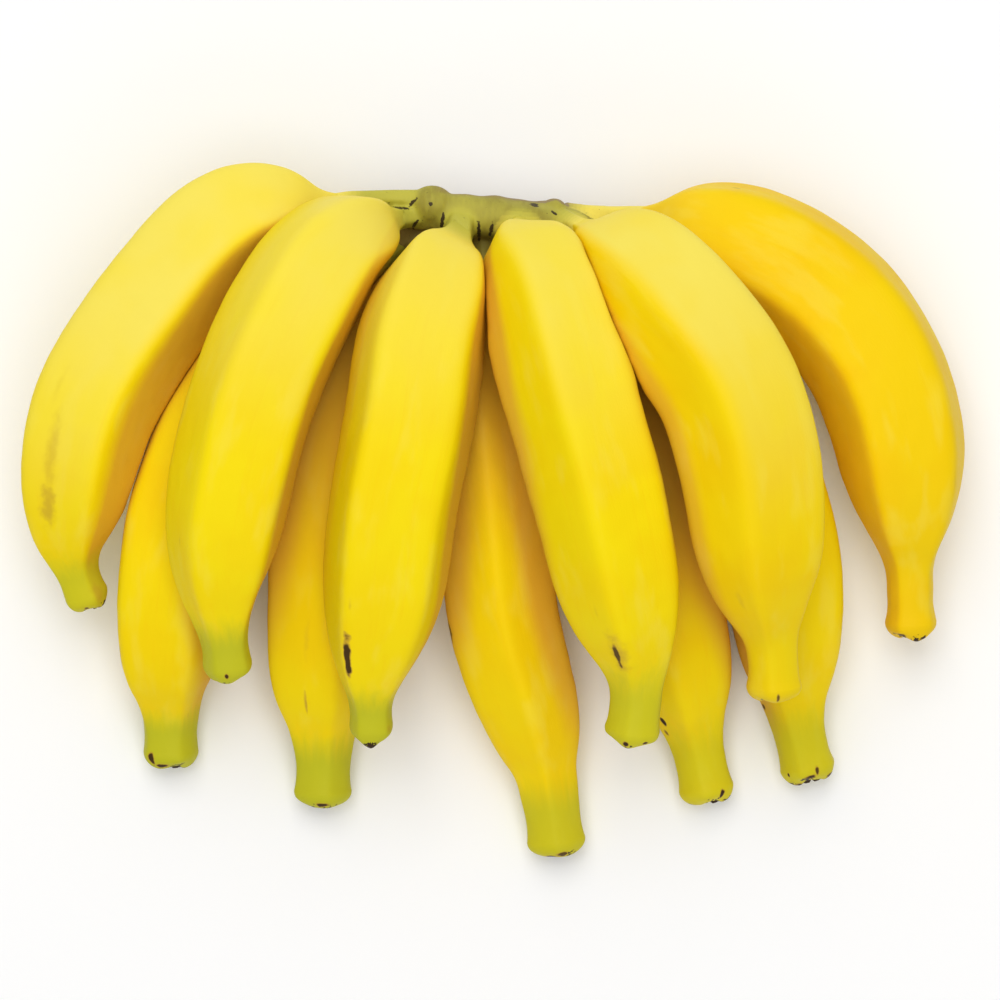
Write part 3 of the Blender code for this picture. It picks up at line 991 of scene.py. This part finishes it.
def yellow_on(tree, finger, skin, shift, streaks):
    """The yellow of a finger: lemon or gold, streaks, bloom with painted sheen, dabs, and painted
    shade in the gaps.
    """
    clouds = noise(tree, skin, 0.045, 2.0, offset=shift)
    gold = sums(tree, "ADD", step(tree, clouds, 0.35, 0.65, -0.15, 0.15), finger.gold)
    colour = blend(tree, gold, LEMON, GOLDEN)
    colour = blend(tree, step(tree, streaks, 0.5, 0.8, 0.0, 0.22), colour, GOLDEN)
    bloom_sheen_share = step(tree, clouds, 0.3, 0.6, 0.7, 1.0)
    bloom_sheen_share = sums(tree, "MULTIPLY", attribute(tree, "bloom"), bloom_sheen_share)
    # bloom and painted sheen on the shoulders' outer facets
    colour = blend(tree, bloom_sheen_share, colour, BLOOM_AND_SHEEN)
    dabs = noise(tree, skin, 0.14, 3.0, (1.0, 1.0, 0.3), shift)
    colour = blend(tree, step(tree, dabs, 0.5, 0.7, 0.0, 0.22), colour, BLOOM_AND_SHEEN)
    most = 0.6 - 0.6 * finger.gold**2  # a golden finger is nearly orange by itself
    # painted shade: the peel turns orange where the neighbours take its sky
    painted_shade = step(tree, attribute(tree, "shaded"), 0.45, 1.1, 0.0, most)
    return blend(tree, painted_shade, colour, SHADE)


def greens_on(tree, finger, colour, streaks):
    """The colour with the green of the bottle neck and of the stalk laid over it."""
    fringe = step(tree, streaks, 0.3, 0.7, -0.06, 0.06)
    ragged = sums(tree, "ADD", attribute(tree, "to_end"), fringe)
    green = sums(tree, "MULTIPLY", step(tree, ragged, 1.6, 0.75), finger.green_tip)
    colour = blend(tree, green, colour, TIP_GREEN)
    return blend(tree, attribute(tree, "stalk_green"), colour, STALK_GREEN)


def peel_material(name):
    """The peel of one finger."""
    finger = FINGERS[name]
    material, tree, shader = fresh(name + "_peel")
    skin = attribute(tree, "skin", "Vector")
    shift = (7.0 * len(name), 13.0 * finger.radius, 5.0 * finger.turn)
    streaks = noise(tree, skin, 0.55, 4.0, (1.0, 1.0, 0.05), shift)
    grain = noise(tree, skin, 2.2, 2.0, (1.0, 1.0, 0.5), shift)

    colour = yellow_on(tree, finger, skin, shift, streaks)
    colour = greens_on(tree, finger, colour, streaks)
    bruised = marks_on(tree, name, skin)
    colour = blend(tree, step(tree, bruised, 0.0, 0.7, 0.0, 0.9), colour, BRUISE)
    colour = blend(tree, step(tree, bruised, 0.55, 1.0), colour, SCAR)
    frayed = step(tree, noise(tree, skin, 0.9, 4.0), 0.35, 0.65, -0.3, 0.3)
    spoiled = step(tree, sums(tree, "ADD", attribute(tree, "scar"), frayed), 0.45, 0.65)
    colour = blend(tree, spoiled, colour, SCAR)
    tree.links.new(colour, shader.inputs["Base Color"])

    tree.links.new(step(tree, grain, 0.3, 0.7, 0.44, 0.54), shader.inputs["Roughness"])
    height = sums(tree, "ADD", sums(tree, "MULTIPLY", grain, 0.35),
                  sums(tree, "MULTIPLY", streaks, 0.65))
    bump = add(tree, "ShaderNodeBump", {"Height": height, "Strength": 0.25, "Distance": 0.0003})
    tree.links.new(bump.outputs[0], shader.inputs["Normal"])
    shader.inputs["Specular IOR Level"].default_value = 0.07
    return material


for name, piece in FRUITS.items():
    piece.data.materials.append(peel_material(name))
print(len(FRUITS), "peels")

# %% [markdown]
# ## Crown wood
#
# The crown is olive green, matte and fibrous, with brown flecks and a dry brown cut at the back.
# Painted shade darkens the slits where two stalks part and browns the underside, and short dark
# lines of painted shade and shadow lie where stalks part or lie over each other, with a few dark
# spots. The stalks turn from its green to the yellow of the peel at the same lengths as the
# fingers do, so no border shows where one piece meets the other. The dark lines and spots lie on
# a surface without skin coordinates, so they are small ellipses seen from above, as if pressed
# in with a stamp.

# %% Crown wood
OLIVE = (0.32, 0.275, 0.035, 1.0)
PALE_OLIVE = (0.42, 0.375, 0.05, 1.0)
SHADE_AND_BACK_BROWN = (0.28, 0.19, 0.055, 1.0)
CUT_BROWN = (0.30, 0.22, 0.09, 1.0)
DARK = (0.05, 0.034, 0.01, 1.0)
# dark lines of painted shade and shadow between stalks, and a few spots: middle x, y, half width,
# half length and turn in degrees, seen from above
SHADE_LINES_AND_SPOTS = [
    (-17.4, 89.6, 0.7, 0.7, 0), (-22.0, 84.2, 0.5, 1.7, -40), (-14.1, 84.9, 0.6, 2.9, -10),
    (-28.5, 88.6, 0.6, 5.5, 88),
    (-22.6, 90.4, 0.6, 1.9, -45), (-6.5, 79.5, 0.5, 2.0, -5), (-3.5, 82.0, 0.6, 2.8, 0),
    (0.0, 82.3, 0.6, 2.3, -12), (12.6, 89.6, 0.7, 1.5, 80), (7.5, 85.5, 0.5, 0.5, 0),
    (18.3, 87.2, 0.45, 1.3, 55)]
ALL_HEIGHTS = 1e6  # a dark line's half height: it is stamped straight through


def slit_shade_on(tree, skin, flecks):
    """How dark the painted shade of the slits and of the dark lines is: the larger of the two,
    with a frayed border.
    """
    slit_shade = attribute(tree, "slit_shade")
    for x, y, width, length, turn in SHADE_LINES_AND_SPOTS:
        placed = add(tree, "ShaderNodeMapping", {
            "Vector": skin, "Location": (x, y, 0.0), "Rotation": (0.0, 0.0, np.radians(turn)),
            "Scale": (width, length, ALL_HEIGHTS)}, vector_type="TEXTURE")
        far = vectors(tree, "LENGTH", placed.outputs[0])
        slit_shade = sums(tree, "MAXIMUM", slit_shade, step(tree, far, 1.5, 0.4))
    slit_shade = sums(tree, "ADD", slit_shade, step(tree, flecks, 0.3, 0.7, -0.3, 0.3))
    return step(tree, slit_shade, 0.45, 0.8)


def crown_material():
    """The wood of the crown and its stalks."""
    material, tree, shader = fresh("crown_wood")
    skin = attribute(tree, "skin", "Vector")
    clouds = noise(tree, skin, 0.12, 3.0)
    fibres = noise(tree, skin, 0.9, 4.0, (1.0, 0.25, 0.4))
    flecks = noise(tree, skin, 1.1, 5.0)

    colour = blend(tree, step(tree, clouds, 0.35, 0.65), OLIVE, PALE_OLIVE)
    colour = blend(tree, step(tree, fibres, 0.45, 0.75, 0.0, 0.3), colour, STALK_GREEN)
    colour = blend(tree, attribute(tree, "on_stalk"), colour, STALK_GREEN)
    # painted shade browns the low wood; the back near the cut is brown as well
    colour = blend(tree, attribute(tree, "low"), colour, SHADE_AND_BACK_BROWN)
    # where a stalk reaches its finger it takes the pale of the shoulder's bloom and painted sheen
    colour = blend(tree, attribute(tree, "stalk_green"), BLOOM_AND_SHEEN, colour)
    frayed = step(tree, fibres, 0.3, 0.7, -0.3, 0.3)
    cut = step(tree, sums(tree, "ADD", attribute(tree, "cut"), frayed), 0.4, 0.7)
    colour = blend(tree, cut, colour, CUT_BROWN)
    colour = blend(tree, step(tree, flecks, 0.68, 0.74, 0.0, 0.75), colour, DARK)
    # painted shade and shadow in the slits and dark lines between stalks
    colour = blend(tree, slit_shade_on(tree, skin, flecks), colour, DARK)
    tree.links.new(colour, shader.inputs["Base Color"])

    shader.inputs["Roughness"].default_value = 0.62
    shader.inputs["Specular IOR Level"].default_value = 0.3
    bump = add(tree, "ShaderNodeBump", {"Height": fibres, "Strength": 0.5, "Distance": 0.0005})
    tree.links.new(bump.outputs[0], shader.inputs["Normal"])
    return material


CROWN.data.materials.append(crown_material())
# the cracks counted here are the dark lines of painted shade and shadow, and the spots
print("crown wood with", len(SHADE_LINES_AND_SPOTS), "cracks and spots")

# %% [markdown]
# ## Floor and room
#
# The photo shows the fruit cut out on white. A floor that is nearly white comes close to that
# and still carries the soft shadow that makes the hand lie there. The room is plain white light
# from all round, weak enough for the lamps to give the fingers their form.

# %% Floor and room
FLOOR_HALF = 3.0  # metres
FLOOR_DROP = 0.0002  # so that the floor and the tips that rest on it don't share a plane
ROOM_LIGHT = 0.41

floor_mesh = bpy.data.meshes.new("floor")
corners = ((-1, -1), (1, -1), (1, 1), (-1, 1))
floor_mesh.from_pydata(
    [(x * FLOOR_HALF, y * FLOOR_HALF, -FLOOR_DROP) for x, y in corners], [], [(0, 1, 2, 3)])
floor = bpy.data.objects.new("floor", floor_mesh)
scene.collection.objects.link(floor)
pale, _, pale_shader = fresh("pale_floor")
pale_shader.inputs["Base Color"].default_value = (0.98, 0.98, 0.98, 1.0)
pale_shader.inputs["Roughness"].default_value = 0.9
pale_shader.inputs["Specular IOR Level"].default_value = 0.2
floor_mesh.materials.append(pale)

world = bpy.data.worlds.new("room")
world.use_nodes = True
background = world.node_tree.nodes["Background"]
background.inputs["Color"].default_value = (1.0, 1.0, 1.0, 1.0)
background.inputs["Strength"].default_value = ROOM_LIGHT
scene.world = world
print("floor of", 2 * FLOOR_HALF, "m, room light", ROOM_LIGHT)

# %% [markdown]
# ## Lamps
#
# The light is a soft studio of four large square lamps. One hangs overhead, and the key lamp
# stands high on the crown's side, so the shoulders are the brightest. One low behind the crown
# lays a sheen on them, and one in front opens the shadows at the tips. Large lamps give soft
# shadows. Small ones would draw hard lines from finger to finger.

# %% Lamps
LAMPS = {  # place and size in metres, power in watts
    "overhead": ((0.0, -0.1, 2.0), 1.5, 12.0),
    "key": ((-0.15, 0.75, 1.5), 1.0, 9.0),
    "behind_crown": ((0.1, 1.5, 0.75), 1.2, 3.0),
    "front": ((0.3, -1.3, 1.0), 1.2, 4.0),
}


def lamp(name, place, size, power):
    """A square area lamp that points at the middle of the hand."""
    light = bpy.data.lights.new(name, "AREA")
    light.shape = "SQUARE"
    light.size = size
    light.energy = power
    item = bpy.data.objects.new(name, light)
    item.location = place
    towards = -item.location
    item.rotation_euler = towards.to_track_quat("-Z", "Y").to_euler()
    item.visible_camera = False
    scene.collection.objects.link(item)


for name, settings in LAMPS.items():
    lamp(name, *settings)
print("lamps:", ", ".join(LAMPS))
